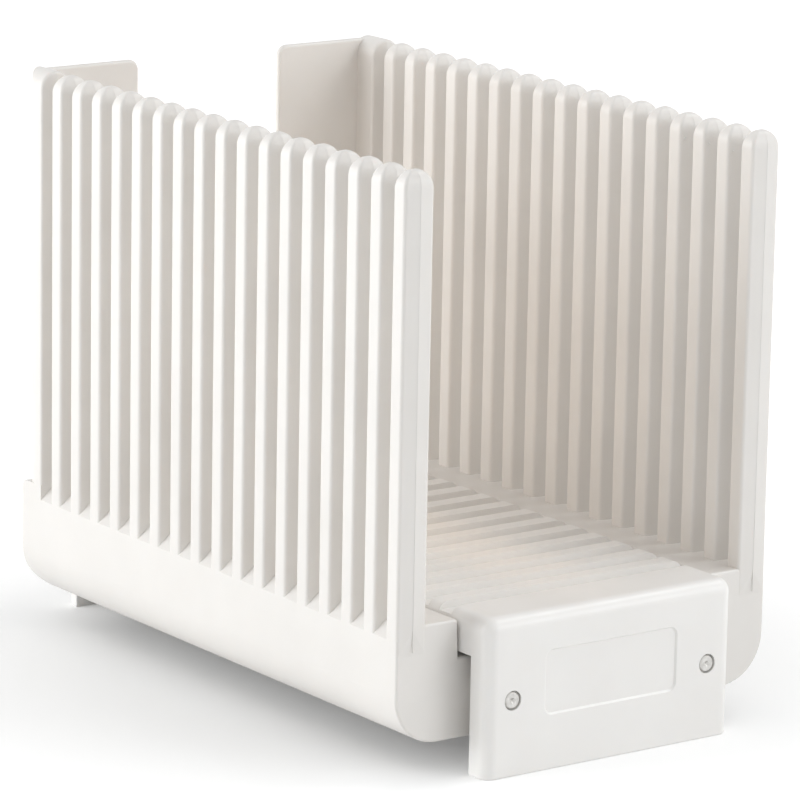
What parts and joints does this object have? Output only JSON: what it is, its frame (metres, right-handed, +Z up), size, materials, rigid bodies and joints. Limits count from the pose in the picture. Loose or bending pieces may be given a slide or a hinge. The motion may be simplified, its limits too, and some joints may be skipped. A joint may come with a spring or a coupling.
{
  "type": "bread slicer guide",
  "caption": "Bread slicing guide: a bench-shaped base with two tall comb walls of knife slots that swing outward on long hinge rods, and a back stop on each wall.",
  "frame": {"origin": "on the table, below the middle of the object", "axes": "+X to the right seen from the front panel, +Y from the front panel to the rear panel, +Z up"},
  "size_m": [0.1442, 0.2398, 0.189],
  "materials": {
    "base_plastic": "white moulded plastic, satin gloss",
    "side_plastic": "white moulded plastic, satin gloss",
    "rod_steel": "plain steel rod, faced ends"
  },
  "bodies": {
    "base": {"base": "base_plastic", "left_hinge_rod": "rod_steel", "right_hinge_rod": "rod_steel"},
    "left_side": {"left_side": "side_plastic"},
    "right_side": {"right_side": "side_plastic"}
  },
  "joints": [
    {"name": "left_side_swing", "type": "hinge", "parent": "base", "child": "left_side", "pos_m": [-0.038, 0, 0.0243], "axis": [0, -1, 0], "range_deg": [0, 33]},
    {"name": "right_side_swing", "type": "hinge", "parent": "base", "child": "right_side", "pos_m": [0.038, 0, 0.0243], "axis": [0, 1, 0], "range_deg": [0, 33]}
  ]
}
